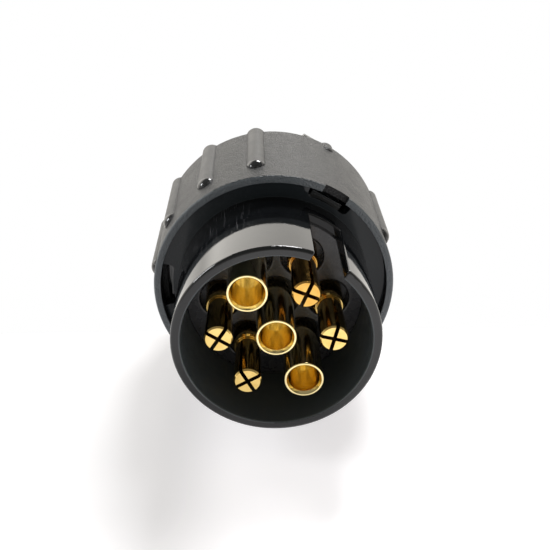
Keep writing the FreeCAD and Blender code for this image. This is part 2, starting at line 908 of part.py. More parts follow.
def make_insert_screws():
    """Three small screws through the back plate and the insert into the barrel."""
    body = new_body("insert_screws")
    body.AllowCompound = True
    places = [around("screw_ring", SCREW_ANGLES[0])]
    head_outline = circles(
        body, "head_outline", "XZ_Plane", places, "screw_head", "screw_head_front"
    )
    head = extruded(body, "head", head_outline, "back_plate_front - slip - screw_head_front")
    shank_outline = circles(
        body, "shank_outline", "XZ_Plane", places, "screw_radius", "screw_head_front + 0.5"
    )
    shank = extruded(body, "shank", shank_outline, "screw_tip - screw_head_front - 0.5")
    recess = outline(
        body,
        "recess_outline",
        "XZ_Plane",
        [
            ("- screw_head - 0.2", "screw_ring - 0.15"),
            ("screw_head + 0.2", "screw_ring - 0.15"),
            ("screw_head + 0.2", "screw_ring + 0.15"),
            ("- screw_head - 0.2", "screw_ring + 0.15"),
        ],
        "screw_head_front - 0.1",
    )
    slot = extruded(body, "recess", recess, "screw_recess + 0.1", "Pocket")
    repeated(body, "screw_set", [head, shank, slot], len(SCREW_ANGLES))


# ---------------------------------------------------------------- wires


def make_wire(name, front, rear):
    """An insulated wire with bare ends in the two cups, swept along a smooth S."""
    gap = number("insulation_gap")
    start_y, end_y = number("tail_end") + gap, number("contact_tail_end") - gap
    run = end_y - start_y
    start = FreeCAD.Vector(front[0], start_y, front[1])
    end = FreeCAD.Vector(rear[0], end_y, rear[1])
    ahead = FreeCAD.Vector(0, run * 1.6, 0)
    curve = Part.BSplineCurve()
    curve.interpolate(Points=[start, end], InitialTangent=ahead, FinalTangent=ahead)
    along = FreeCAD.Vector(0, 1, 0)
    ring = Part.Wire([Part.makeCircle(number("wire_radius"), start, along)])
    covered = Part.Wire([curve.toShape()]).makePipeShell([ring], True, True)
    # The bared strands reach from just inside the insulation almost to the floors of the cups.
    root = along * number("strand_root")
    front_length = start_y - number("cup_floor")
    rear_length = number("contact_cup_floor") - end_y
    strand = number("strand_radius")
    front_end = start + root - along * front_length
    bare_front = Part.makeCylinder(strand, front_length, front_end, along)
    bare_rear = Part.makeCylinder(strand, rear_length, end - root, along)
    wire = doc.addObject("Part::Feature", name)
    wire.Label = name
    wire.Shape = covered.fuse([bare_front, bare_rear])
    roll_about_axis(wire)


def place_of(radius, angle):
    """The x and z of a point at an angle from the key slot, as numbers."""
    turn = math.radians(angle)
    return radius * math.sin(turn), radius * math.cos(turn)


def make_wires():
    """One wire from each front contact to the rear contact nearest in angle."""
    front_ring, rear_ring = number("contact_ring"), number("outer_ring")
    runs = [(0, 22.5), (60, 67.5), (120, 112.5), (180, 157.5), (240, 247.5), (300, 292.5)]
    for index, (front_angle, rear_angle) in enumerate(runs, start=1):
        front = place_of(front_ring, front_angle)
        make_wire(f"wire_{index}", front, place_of(rear_ring, rear_angle))
    make_wire(f"wire_{len(runs) + 1}", (0, 0), place_of(rear_ring, 337.5))


# ---------------------------------------------------------------- sprung lid


def make_lid():
    """The round lid over the socket, with two hinge arms and a thumb tab."""
    body = new_body("lid")
    turned(
        body,
        "lid_disc",
        [
            ("0", "lid_front"),
            ("groove_inner", "lid_front"),
            ("groove_inner", "groove_floor"),
            ("groove_outer", "groove_floor"),
            ("groove_outer", "lid_front"),
            ("lid_radius", "lid_front"),
            ("lid_radius", "lid_back"),
            ("lid_recess", "lid_back"),
            ("lid_recess", "lid_recess_floor"),
            ("0", "lid_recess_floor"),
        ],
    )
    softened(body, "lid_edge", ring_edge("lid_radius", "lid_back"), "0.6")
    web = outline(
        body,
        "lid_web_outline",
        "XZ_Plane",
        [
            ("- lid_web / 2", "lid_hub - 1"),
            ("lid_web / 2", "lid_hub - 1"),
            ("lid_web / 2", "lid_recess + 0.5"),
            ("- lid_web / 2", "lid_recess + 0.5"),
        ],
        "lid_recess_floor - 0.2",
    )
    spoke = extruded(body, "lid_spoke", web, "lid_back - lid_recess_floor + 0.05")
    repeated(body, "lid_spokes", [spoke], 6)
    middle = [("0", "0")]
    hub = circles(
        body, "lid_hub_outline", "XZ_Plane", middle, "lid_hub", "lid_recess_floor - 0.2"
    )
    extruded(body, "lid_hub", hub, "lid_back - lid_recess_floor + 0.2")
    tab = outline(
        body,
        "lid_tab_outline",
        "XZ_Plane",
        [
            ("- lid_tab_width / 2", "lid_radius - 2"),
            ("lid_tab_width / 2", "lid_radius - 2"),
            ("lid_tab_width / 2 - 1.2", "lid_tab"),
            ("- lid_tab_width / 2 + 1.2", "lid_tab"),
        ],
        "groove_floor",
    )
    extruded(body, "lid_tab", tab, "lid_back - groove_floor - 0.4")
    arm = outline(
        body,
        "lid_arm_outline",
        "YZ_Plane",
        [
            ("hinge_depth", "- hinge_offset"),
            ("hinge_depth - 0.3", "- hinge_offset + knuckle_radius - 0.05"),
            ("lid_front - 0.2", "- lid_radius"),
            ("groove_floor + 0.05", "- lid_radius + 0.05"),
            ("groove_floor + 0.05", "- lid_radius + 1.2"),
            ("lid_back - 0.1", "- lid_radius + 1.2"),
            ("lid_back - 0.1", "- lid_arm_reach"),
            ("hinge_depth + 0.6", "- hinge_offset - knuckle_radius + 0.1"),
        ],
    )
    extruded(body, "lid_arm", arm, "knuckle_span", both_ways=True)
    place = [("hinge_depth", "- hinge_offset")]
    knuckle = circles(body, "knuckle_outline", "YZ_Plane", place, "knuckle_radius")
    extruded(body, "knuckle", knuckle, "knuckle_span", both_ways=True)
    gap = outline(
        body,
        "knuckle_gap_outline",
        "YZ_Plane",
        [
            ("hinge_depth - 4", "- hinge_offset - 4"),
            ("leg_slot_end", "- hinge_offset - 4"),
            ("leg_slot_end", "- hinge_offset + spring_coil + spring_wire + loose"),
            ("spring_well_end", "- hinge_offset + spring_coil + spring_wire + loose"),
            ("spring_well_end", "- hinge_offset + 5"),
            ("hinge_depth - 4", "- hinge_offset + 5"),
        ],
    )
    extruded(body, "knuckle_gap", gap, "knuckle_gap", "Pocket", both_ways=True)
    hole = circles(body, "knuckle_hole_outline", "YZ_Plane", place, "knuckle_hole")
    extruded(body, "knuckle_hole", hole, "knuckle_span + 2", "Pocket", both_ways=True)


def make_hinge_pin():
    """A headed pin through the ears and the lid's knuckles."""
    body = new_body("hinge_pin")
    place = [("hinge_depth", "- hinge_offset")]
    shank = circles(body, "shank_outline", "YZ_Plane", place, "hinge_pin_radius")
    extruded(body, "shank", shank, "ear_span + 2", both_ways=True)
    for name, side in (("head", 1), ("rivet", -1)):
        sketch = circles(body, f"{name}_outline", "YZ_Plane", place, "hinge_pin_radius + 0.7")
        bind(sketch, "AttachmentOffset.Base.z", f"{side} * ( ear_span / 2 + 0.42 )")
        extruded(body, name, sketch, "0.8", both_ways=True)


def make_lid_spring():
    """A torsion spring on the hinge pin: one leg on the collar's plate, one under the lid."""
    turns, gauge = number("spring_turns"), number("spring_wire")
    pitch = (number("knuckle_gap") - 2 * gauge - 0.2) / turns
    helix = Part.makeHelix(pitch, pitch * turns, number("spring_coil"))
    # The coil starts on its collar side, rises towards the connector's axis and runs to -X.
    lay = FreeCAD.Rotation(
        FreeCAD.Vector(0, -1, 0), FreeCAD.Vector(0, 0, 1), FreeCAD.Vector(-1, 0, 0)
    )
    seat = FreeCAD.Vector(pitch * turns / 2, number("hinge_depth"), -number("hinge_offset"))
    helix.Placement = FreeCAD.Placement(seat, lay)
    first, last = helix.Vertexes[0].Point, helix.Vertexes[-1].Point
    fixed_end = first - FreeCAD.Vector(0, 0, number("fixed_leg"))
    moving_end = last + FreeCAD.Vector(0, number("moving_leg"), 0)
    path = Part.Wire(
        [Part.makeLine(fixed_end, first)] + helix.Edges + [Part.makeLine(last, moving_end)]
    )
    section = Part.Wire([Part.makeCircle(gauge, fixed_end, FreeCAD.Vector(0, 0, 1))])
    spring = doc.addObject("Part::Feature", "lid_spring")
    spring.Label = "lid_spring"
    spring.Shape = path.makePipeShell([section], True, True)
    roll_about_axis(spring)


# ---------------------------------------------------------------- assembly and export

make_nose_shell()
make_contact_carrier()
make_terminal_plate()
make_ring("carrier_retainer", "retainer_bore", "carrier_radius", "retainer_front", "retainer_back")
for index, (angle, twist) in enumerate(zip(PIN_ANGLES, PIN_TWISTS), start=1):
    make_split_pin(f"split_pin_{index}", angle, twist)
for index, angle in enumerate(SLEEVE_ANGLES, start=1):
    make_sleeve(f"sleeve_contact_{index}", *around("contact_ring", angle))
make_sleeve("sleeve_contact_3", "0", "0")
make_grip_collar()
make_ring(
    "flange_gasket", "skirt_bore + loose", "nose_radius - loose", "gasket_front", "gasket_back"
)
make_socket_barrel()
make_socket_insert()
make_insert_back_plate()
make_insert_screws()
for index, angle in enumerate(REAR_ANGLES, start=1):
    make_socket_contact(f"socket_contact_{index}", angle)
make_earth_link()
make_wires()
make_lid()
make_ring(
    "lid_gasket",
    "groove_inner + loose",
    "groove_outer - loose",
    "lid_gasket_front",
    "lid_gasket_back",
)
make_hinge_pin()
make_lid_spring()
doc.recompute()

for item in doc.Objects:
    bad_states = {"Invalid", "Error"} & set(item.State)
    if bad_states:
        raise RuntimeError(f"{item.Name} ({item.Label}) is {bad_states}")

SUB_PART_TYPES = ("PartDesign::Body", "Part::Feature")
sub_parts = [item for item in doc.Objects if item.TypeId in SUB_PART_TYPES]
for item in sub_parts:
    if item.Shape.isNull() or not item.Shape.isValid() or not item.Shape.Solids:
        raise RuntimeError(f"{item.Label} has no valid solid")
for item in sub_parts:
    item.Shape.exportStep(os.path.join("parts", f"{item.Label}.step"))
print(f"{len(sub_parts)} sub-parts written")
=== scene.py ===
import math

import bpy
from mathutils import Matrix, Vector


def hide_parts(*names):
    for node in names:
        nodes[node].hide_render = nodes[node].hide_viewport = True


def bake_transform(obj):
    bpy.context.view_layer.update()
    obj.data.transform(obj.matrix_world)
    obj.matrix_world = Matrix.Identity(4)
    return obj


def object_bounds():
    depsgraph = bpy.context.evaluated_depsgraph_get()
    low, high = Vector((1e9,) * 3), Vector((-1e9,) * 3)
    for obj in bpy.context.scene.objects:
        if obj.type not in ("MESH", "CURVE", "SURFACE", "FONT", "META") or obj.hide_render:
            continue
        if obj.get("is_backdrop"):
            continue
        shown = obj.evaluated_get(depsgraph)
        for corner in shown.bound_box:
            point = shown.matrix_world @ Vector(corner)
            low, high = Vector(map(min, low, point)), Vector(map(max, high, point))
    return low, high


# Trailer wiring adapter lying on its grip ribs on a white table, seen from the front and above.
# Everything is in metres in the CAD frame: the connector's axis is Y and the nose faces -Y, so
# depth is the distance along Y, counted from the nose's rim backwards.

MM = 0.001

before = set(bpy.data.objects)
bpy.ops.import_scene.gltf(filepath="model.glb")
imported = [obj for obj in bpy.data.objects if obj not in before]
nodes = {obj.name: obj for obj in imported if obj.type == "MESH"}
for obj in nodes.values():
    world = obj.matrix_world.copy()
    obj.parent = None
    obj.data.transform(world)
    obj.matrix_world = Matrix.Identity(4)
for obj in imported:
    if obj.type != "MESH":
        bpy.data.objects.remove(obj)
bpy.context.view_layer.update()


# ------------------------------------------------------------------ shader helpers

OCTAVE_SHARE = 0.55


class Tree:
    """Short calls for the node maths that the looks and the sky need."""

    def __init__(self, tree):
        self.tree = tree

    def node(self, kind, **settings):
        made = self.tree.nodes.new(kind)
        for key, value in settings.items():
            setattr(made, key, value)
        return made

    def feed(self, socket, value):
        if isinstance(value, bpy.types.NodeSocket):
            self.tree.links.new(value, socket)
        else:
            socket.default_value = value

    def maths(self, operation, first, second=0.0):
        made = self.node("ShaderNodeMath", operation=operation)
        for socket, value in zip(made.inputs, (first, second)):
            self.feed(socket, value)
        return made.outputs[0]

    def times(self, first, second):
        return self.maths("MULTIPLY", first, second)

    def axes(self, vector):
        """A vector's X, Y and Z, apart."""
        made = self.node("ShaderNodeSeparateXYZ")
        self.feed(made.inputs[0], vector)
        return made.outputs

    def length(self, *parts):
        """The square root of the sum of the parts' squares."""
        total = None
        for part in parts:
            square = self.times(part, part)
            total = square if total is None else self.maths("ADD", total, square)
        return self.maths("SQRT", total)

    def between(self, value, low, high, out_low=0.0, out_high=1.0):
        """Maps low..high to out_low..out_high, smoothly and clamped."""
        made = self.node("ShaderNodeMapRange", interpolation_type="SMOOTHSTEP")
        for socket, item in zip(made.inputs, (value, low, high, out_low, out_high)):
            self.feed(socket, item)
        return made.outputs[0]


class Shader(Tree):
    """A material with one Principled surface, in the object's own coordinates."""

    def __init__(self, name):
        self.material = bpy.data.materials.new(name)
        self.material.use_nodes = True
        super().__init__(self.material.node_tree)
        self.tree.nodes.clear()
        self.surface = self.node("ShaderNodeBsdfPrincipled")
        output = self.node("ShaderNodeOutputMaterial")
        self.tree.links.new(self.surface.outputs[0], output.inputs["Surface"])
        self.place = self.node("ShaderNodeTexCoord").outputs["Object"]

    def stretched(self, scale, turn=(0.0, 0.0, 0.0)):
        """The coordinates, turned and scaled."""
        made = self.node("ShaderNodeMapping")
        self.feed(made.inputs["Vector"], self.place)
        made.inputs["Rotation"].default_value = turn
        made.inputs["Scale"].default_value = scale
        return made.outputs[0]

    def noise(self, size, detail, vector=None):
        """Noise whose features are about size metres across."""
        made = self.node("ShaderNodeTexNoise")
        self.feed(made.inputs["Vector"], self.place if vector is None else vector)
        made.inputs["Scale"].default_value = 1.0 / size
        made.inputs["Detail"].default_value = detail
        made.inputs["Roughness"].default_value = OCTAVE_SHARE
        return made.outputs["Fac"]

    def patches(self, size, detail, low=0.3, high=0.7, out_low=0.0, out_high=1.0):
        """Noise cut at low and high into soft patches that run from out_low to out_high."""
        return self.between(self.noise(size, detail), low, high, out_low, out_high)

    def cells(self, size, feature="F1"):
        """Distance to the nearest of points scattered about size metres apart."""
        made = self.node("ShaderNodeTexVoronoi", feature=feature)
        self.feed(made.inputs["Vector"], self.place)
        made.inputs["Scale"].default_value = 1.0 / size
        return made.outputs["Distance"]

    def mix(self, share, first, second):
        made = self.node("ShaderNodeMix", data_type="FLOAT")
        for index, value in ((0, share), (2, first), (3, second)):
            self.feed(made.inputs[index], value)
        return made.outputs[0]

    def tint(self, share, first, second):
        """A colour between the first and the second; either is a socket or three numbers."""
        made = self.node("ShaderNodeMix", data_type="RGBA")
        self.feed(made.inputs[0], share)
        for index, colour in ((6, first), (7, second)):
            self.feed(made.inputs[index], (*colour, 1.0) if isinstance(colour, tuple) else colour)
        return made.outputs[2]

    def openness(self, reach):
        """1 on open faces, falling to 0 in slits and corners narrower than the reach."""
        made = self.node("ShaderNodeAmbientOcclusion", samples=8)
        made.inputs["Distance"].default_value = reach
        return made.outputs["AO"]

    def soft_edges(self, size):
        """Normals that round every edge off by about size metres."""
        made = self.node("ShaderNodeBevel", samples=4)
        made.inputs["Radius"].default_value = size
        return made.outputs[0]

    def bump(self, height, distance, strength=1.0, under=None):
        made = self.node("ShaderNodeBump")
        self.feed(made.inputs["Height"], height)
        self.feed(made.inputs["Strength"], strength)
        made.inputs["Distance"].default_value = distance
        if under is not None:
            self.feed(made.inputs["Normal"], under)
        return made.outputs[0]

    def finish(self, colour, roughness, normal=None, **extra):
        """Feeds the surface; an extra's name is the socket's, with _ for each space."""
        self.feed(self.surface.inputs["Base Color"], colour)
        self.feed(self.surface.inputs["Roughness"], roughness)
        if normal is not None:
            self.feed(self.surface.inputs["Normal"], normal)
        for key, value in extra.items():
            self.feed(self.surface.inputs[key.replace("_", " ")], value)
        return self.material


# ------------------------------------------------------------------ materials

# Nose shell. Pairs of lengths are where a change begins and where it is complete.
INNER_WALL = (18.45 * MM, 18.30 * MM)
FLANGE_START = (23.0 * MM, 23.7 * MM)
SKIRT_START = (25.0 * MM, 26.0 * MM)
GLOSS_START = (11 * MM, 17 * MM)
NOSE_GLOSS = (0.5, 0.24)
SKIRT_GLOSS = 0.7
NOSE_ROUGHNESS = (0.035, 0.07)
INNER_ROUGHNESS = (0.34, 0.44)
NOSE_BLACKS = ((0.0030, 0.0034, 0.0040), (0.0055, 0.0062, 0.0070))
FLANGE_BLACK = (0.014, 0.018, 0.021)
# The inner wall's grey is painted light: lighter than the shell's black, standing in for light
# inside the shroud.
INNER_GREY_PAINTED_LIGHT = (0.048, 0.058, 0.063)

# Hairline scratches, long and thin, only on the back part of the shroud's left side.
SCRATCH_STRETCH = (11.0, 0.16, 11.0)
SCRATCH_TURN = (0.0, 0.0, 0.4)
SCRATCH_CUT = (0.66, 0.70)
WORN_ACROSS = (-1 * MM, -9 * MM)
WORN_DEPTH = (8 * MM, 12 * MM)
SCRATCH_ROUGHNESS = 0.18
SCRATCH_SHARE = 0.7
SCRATCH_GREY = (0.10, 0.10, 0.11)

# Grip collar. The ribs are round bars on a circle about the axis, each with a ball at its front.
RIB_PLACES = 14
RIB_CIRCLE = 24.2 * MM
RIB_FRONT = 28.9 * MM
RIB_RADIUS = 2.2 * MM
KEY_ROLL = math.radians(30.5)
RIB_EDGE = (RIB_RADIUS + 0.09 * MM, RIB_RADIUS + 0.04 * MM)
PROUD_OF_GRIP = (25.50 * MM, 25.62 * MM)
BALL_END = (RIB_FRONT + 0.1 * MM, RIB_FRONT - 0.3 * MM)
LIP_END = (22.4 * MM, 22.0 * MM)
GRAIN_DEPTH = 0.11 * MM
GRIP_GLOSS = 0.15
LIP_GLOSS = 0.9
RIB_GLOSS = 0.23
BALL_GLOSS = 0.5
BALL_ROUGHNESS = 0.08
RIB_SMOOTHNESS = 0.8
GRIP_GREYS = ((0.013, 0.0135, 0.0145), (0.018, 0.0185, 0.0195))
SPECK_GREY = (0.060, 0.061, 0.063)
# The lip's lighter, bluish grey is painted sheen for the bluish light seen along it.
LIP_PAINTED_SHEEN_GREY = (0.038, 0.051, 0.061)

# Contacts.
MOUTH_END = (2.4 * MM, 3.4 * MM)
# Painted shade on the pins: the shoulder band at the root and the slits get a dark brown.
SHOULDER_FRONT = (13.2 * MM, 13.8 * MM)
SHOULDER_BACK = (14.14 * MM, 14.03 * MM)
SHOULDER_SHADE_SHARE = 0.2
SLIT_REACH = 0.8 * MM
SLIT_CUT = (0.35, 0.75)
PAINTED_SHADE_BROWN = (0.030, 0.022, 0.010)

WIRE_COLOURS = {
    "wire_1": (0.80, 0.60, 0.04),
    "wire_2": (0.03, 0.10, 0.50),
    "wire_3": (0.78, 0.78, 0.74),
    "wire_4": (0.03, 0.32, 0.08),
    "wire_5": (0.20, 0.09, 0.04),
    "wire_6": (0.55, 0.03, 0.03),
    "wire_7": (0.02, 0.02, 0.02),
}


def moulded(name, dark, light, rough_low, rough_high, grain_depth):
    """Moulded plastic: slow colour drift, patchy gloss and a fine surface grain."""
    m = Shader(name)
    drift = m.patches(6 * MM, 4.0)
    rough = m.patches(2.2 * MM, 5.0, 0.25, 0.75, rough_low, rough_high)
    normal = m.bump(m.noise(0.25 * MM, 2.0), grain_depth, under=m.soft_edges(0.12 * MM))
    return m.finish(m.tint(drift, dark, light), rough, normal)


def gloss_nose():
    """Polished black shroud with hairline scratches, satin inside, with a greyer flange behind; the
    inside wall's lighter grey is painted light.
    """
    m = Shader("gloss_nose")
    x, depth, z = m.axes(m.place)
    across = m.length(x, z)
    drift = m.patches(8 * MM, 4.0)
    peel = m.noise(1.6 * MM, 2.0)
    fine = m.noise(0.12 * MM, 3.0)
    hair = m.noise(1 * MM, 1.0, vector=m.stretched(SCRATCH_STRETCH, SCRATCH_TURN))
    worn_side = m.times(m.between(x, *WORN_ACROSS), m.between(depth, *WORN_DEPTH))
    scratch = m.times(m.between(hair, *SCRATCH_CUT), worn_side)
    normal = m.bump(peel, 0.004 * MM, under=m.soft_edges(0.15 * MM))
    normal = m.bump(fine, 0.0008 * MM, under=normal)
    normal = m.bump(scratch, 0.004 * MM, 0.6, under=normal)
    rough = m.patches(3 * MM, 5.0, 0.3, 0.75, *NOSE_ROUGHNESS)
    rough = m.maths("ADD", rough, m.times(scratch, SCRATCH_ROUGHNESS))
    gloss = m.between(depth, *GLOSS_START, *NOSE_GLOSS)
    gloss = m.mix(m.between(depth, *SKIRT_START), gloss, SKIRT_GLOSS)
    inner = m.between(across, *INNER_WALL)
    rough = m.mix(inner, rough, m.patches(2 * MM, 4.0, 0.3, 0.7, *INNER_ROUGHNESS))
    black = m.tint(drift, *NOSE_BLACKS)
    black = m.tint(m.between(depth, *FLANGE_START), black, FLANGE_BLACK)
    # Painted light: the inside wall is given a lighter grey for the light inside the shroud.
    black = m.tint(inner, black, INNER_GREY_PAINTED_LIGHT)
    colour = m.tint(m.times(scratch, SCRATCH_SHARE), black, SCRATCH_GREY)
    return m.finish(colour, rough, normal, Specular_IOR_Level=gloss)


def grained_grip():
    """Spark-eroded grain between the ribs; the ribs are smoother and their ball ends are glossy."""
    m = Shader("grained_grip")
    x, depth, z = m.axes(m.place)
    across = m.length(x, z)
    pitch = math.tau / RIB_PLACES
    around = m.maths("SUBTRACT", m.maths("ARCTAN2", x, z), KEY_ROLL)
    off_rib = m.maths("SUBTRACT", m.maths("FLOORED_MODULO", around, pitch), pitch / 2)
    sideways = m.times(across, m.maths("SINE", off_rib))
    outwards = m.maths("SUBTRACT", m.times(across, m.maths("COSINE", off_rib)), RIB_CIRCLE)
    ahead = m.maths("MINIMUM", m.maths("SUBTRACT", depth, RIB_FRONT), 0.0)
    from_rib = m.length(sideways, outwards, ahead)
    on_rib = m.times(m.between(from_rib, *RIB_EDGE), m.between(across, *PROUD_OF_GRIP))
    on_lip = m.between(depth, *LIP_END)
    ball = m.times(on_rib, m.between(depth, *BALL_END))
    grain = m.cells(0.36 * MM, "SMOOTH_F1")
    fine = m.noise(0.20 * MM, 3.0)
    height = m.maths("ADD", grain, m.times(fine, 0.9))
    smooth = m.times(on_rib, RIB_SMOOTHNESS)
    strength = m.maths("SUBTRACT", 1.0, m.maths("MAXIMUM", smooth, ball))
    normal = m.bump(height, GRAIN_DEPTH, strength, under=m.soft_edges(0.15 * MM))
    rough = m.patches(2.5 * MM, 5.0, 0.3, 0.7, 0.38, 0.44)
    rough = m.mix(ball, rough, BALL_ROUGHNESS)
    gloss = m.mix(on_rib, m.mix(on_lip, GRIP_GLOSS, LIP_GLOSS), RIB_GLOSS)
    gloss = m.mix(ball, gloss, BALL_GLOSS)
    drift = m.patches(5 * MM, 4.0)
    speck = m.patches(0.30 * MM, 2.0, 0.48, 0.72)
    grey = m.tint(drift, *GRIP_GREYS)
    colour = m.tint(m.times(speck, strength), grey, SPECK_GREY)
    # Painted sheen: the lip gets a lighter, bluish grey.
    colour = m.tint(on_lip, colour, LIP_PAINTED_SHEEN_GREY)
    return m.finish(colour, rough, normal, Specular_IOR_Level=gloss)


def brass(name, bright, deep, rough_low, rough_high, bore_painted_reflection=None, painted_pin_shade=False):
    """Turned and tumbled brass: tool rings, fine pits, and a warmer film in patches.

    A sleeve is a paler brass behind its mouth, painted reflection for the light that bounces inside
    the bore.
    A pin has painted shade: dark brown in its slits, where the occlusion finds them closed in, and
    a faint brown on the shoulder at its root.
    """
    m = Shader(name)
    depth = m.axes(m.place)["Y"]
    film = m.patches(1.8 * MM, 5.0, 0.35, 0.75)
    pits = m.noise(0.10 * MM, 3.0)
    rings = m.noise(0.09 * MM, 1.0, vector=m.stretched((0.02, 1.0, 0.02)))
    normal = m.bump(pits, 0.0008 * MM, under=m.soft_edges(0.04 * MM))
    normal = m.bump(rings, 0.0010 * MM, 0.5, under=normal)
    rough = m.patches(0.7 * MM, 4.0, 0.3, 0.7, rough_low, rough_high)
    colour = m.tint(film, bright, deep)
    # Painted reflection: behind the mouth the brass is paler and less saturated, standing in for
    # the light that bounces about inside the bore.
    if bore_painted_reflection is not None:
        colour = m.tint(m.between(depth, *MOUTH_END), colour, bore_painted_reflection)
    # Painted shade: brown in the slits that the occlusion finds closed in, and faintly on the
    # shoulder at the pin's root.
    if painted_pin_shade:
        shoulder = m.times(m.between(depth, *SHOULDER_FRONT), m.between(depth, *SHOULDER_BACK))
        colour = m.tint(m.times(shoulder, SHOULDER_SHADE_SHARE), colour, PAINTED_SHADE_BROWN)
        open_face = m.between(m.openness(SLIT_REACH), *SLIT_CUT)
        colour = m.tint(open_face, PAINTED_SHADE_BROWN, colour)
    return m.finish(colour, rough, normal, Metallic=1.0)


def steel():
    """Zinc-plated steel: a fine spangle and a dull film in patches."""
    m = Shader("zinc_steel")
    film = m.patches(1.2 * MM, 5.0, 0.35, 0.7)
    normal = m.bump(m.cells(0.25 * MM), 0.006 * MM, 0.4, under=m.soft_edges(0.05 * MM))
    rough = m.patches(0.6 * MM, 4.0, 0.3, 0.7, 0.22, 0.38)
    colour = m.tint(film, (0.62, 0.62, 0.60), (0.44, 0.43, 0.40))
    return m.finish(colour, rough, normal, Metallic=1.0)


def rubber():
    m = Shader("seal_rubber")
    normal = m.bump(m.noise(0.2 * MM, 4.0), 0.02 * MM)
    rough = m.patches(1 * MM, 4.0, 0.3, 0.7, 0.62, 0.78)
    colour = m.tint(m.patches(3 * MM, 4.0), (0.012, 0.012, 0.012), (0.024, 0.023, 0.022))
    return m.finish(colour, rough, normal)


def insulation(name, colour):
    """Wire insulation, a little duller in patches."""
    m = Shader(name)
    worn = tuple(0.8 * part + 0.02 for part in colour)
    normal = m.bump(m.noise(0.3 * MM, 3.0), 0.01 * MM)
    rough = m.patches(1 * MM, 4.0, 0.3, 0.7, 0.35, 0.5)
    return m.finish(m.tint(m.patches(2 * MM, 4.0), colour, worn), rough, normal)


grip = grained_grip()
carrier = moulded("satin_carrier", (0.019, 0.020, 0.023), (0.027, 0.028, 0.032),
                  0.22, 0.34, 0.010 * MM)
socket = moulded("satin_socket", (0.016, 0.016, 0.018), (0.026, 0.026, 0.028),
                 0.30, 0.42, 0.014 * MM)
pin_brass = brass("pin_brass", (0.80, 0.58, 0.21), (0.72, 0.48, 0.14),
                  0.07, 0.15, painted_pin_shade=True)
filmed_brass = brass("filmed_brass", (0.72, 0.42, 0.11), (0.62, 0.34, 0.07),
                     0.08, 0.16, painted_pin_shade=True)
# The sleeve's paler colour behind the mouth is painted reflection of the bore's inner bounces.
sleeve_brass = brass("sleeve_brass", (0.93, 0.79, 0.42), (0.88, 0.72, 0.34),
                     0.08, 0.16, bore_painted_reflection=(0.89, 0.785, 0.49))
metal = steel()
seal = rubber()
looks = {
    "nose_shell": gloss_nose(),
    "contact_carrier": carrier,
    "terminal_plate": carrier,
    "carrier_retainer": carrier,
    "grip_collar": grip,
    "flange_gasket": seal,
    "socket_barrel": socket,
    "socket_insert": carrier,
    "insert_back_plate": carrier,
    "insert_screws": metal,
    "earth_link": sleeve_brass,
    "lid": socket,
    "lid_gasket": seal,
    "lid_spring": metal,
    "hinge_pin": metal,
}
for name, colour in WIRE_COLOURS.items():
    looks[name] = insulation(f"{name}_insulation", colour)
for name, item in nodes.items():
    if name == "split_pin_1":
        looks[name] = filmed_brass
    elif name.startswith("split_pin"):
        looks[name] = pin_brass
    elif name.startswith(("sleeve_contact", "socket_contact")):
        looks[name] = sleeve_brass
    item.data.materials.clear()
    item.data.materials.append(looks[name])


# ------------------------------------------------------------------ lid spring

COIL_TURNS = 5.25
COIL_STEPS = 36
COIL_RADIUS = 1.7 * MM
COIL_HALF_LENGTH = 2.0 * MM
WIRE_RADIUS = 0.3 * MM
WIRE_SIDES = 12
FIXED_LEG = 2.2 * MM
FIXED_LEG_STEPS = 4
MOVING_LEG = 5.4 * MM
MOVING_LEG_STEPS = 8
HINGE_DEPTH = 52.3 * MM
HINGE_OFFSET = 24.6 * MM


def rolled(x, y, z):
    """From the key slot upright to the key slot as it lies."""
    c, s = math.cos(KEY_ROLL), math.sin(KEY_ROLL)
    return Vector((x * c + z * s, y, z * c - x * s))


def spring_path():
    """In along the fixed leg, round the coil along the pin, and out along the moving leg."""
    points = []
    total = int(COIL_TURNS * COIL_STEPS)
    for index in range(total + 1):
        turn = math.tau * COIL_TURNS * index / total
        x = COIL_HALF_LENGTH * (1.0 - 2.0 * index / total)
        points.append((x, HINGE_DEPTH - COIL_RADIUS * math.cos(turn),
                       -HINGE_OFFSET + COIL_RADIUS * math.sin(turn)))
    first, last = points[0], points[-1]
    fixed = [(first[0], first[1], first[2] - FIXED_LEG * step / FIXED_LEG_STEPS)
             for step in range(FIXED_LEG_STEPS, 0, -1)]
    moving = [(last[0], last[1] + MOVING_LEG * step / MOVING_LEG_STEPS, last[2])
              for step in range(1, MOVING_LEG_STEPS + 1)]
    return [rolled(*point) for point in fixed + points + moving]


def wire_mesh(name, path, radius, sides):
    """A round wire along a path, with flat ends."""
    verts, faces = [], []
    side = None
    for index, point in enumerate(path):
        along = (path[min(index + 1, len(path) - 1)] - path[max(index - 1, 0)]).normalized()
        if side is None:
            side = along.orthogonal()
        side = (side - along * side.dot(along)).normalized()
        up = along.cross(side)
        for corner in range(sides):
            a = math.tau * corner / sides
            verts.append(point + (side * math.cos(a) + up * math.sin(a)) * radius)
    rings = len(path)
    for ring in range(rings - 1):
        for corner in range(sides):
            after = (corner + 1) % sides
            faces.append((ring * sides + corner, ring * sides + after,
                          (ring + 1) * sides + after, (ring + 1) * sides + corner))
    first_end = tuple(reversed(range(sides)))
    last_end = tuple((rings - 1) * sides + corner for corner in range(sides))
    mesh = bpy.data.meshes.new(name)
    mesh.from_pydata([tuple(v) for v in verts], [], faces + [first_end, last_end])
    mesh.update()
    made = bpy.data.objects.new(name, mesh)
    bpy.context.scene.collection.objects.link(made)
    for face in mesh.polygons[:len(faces)]:
        face.use_smooth = True
    return made


def sprung_wire():
    """The spring, bent between the bodies its two legs press on."""
    spring = wire_mesh("spring_coil", spring_path(), WIRE_RADIUS, WIRE_SIDES)
    spring.data.materials.append(metal)
    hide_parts("lid_spring")
    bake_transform(spring)


sprung_wire()


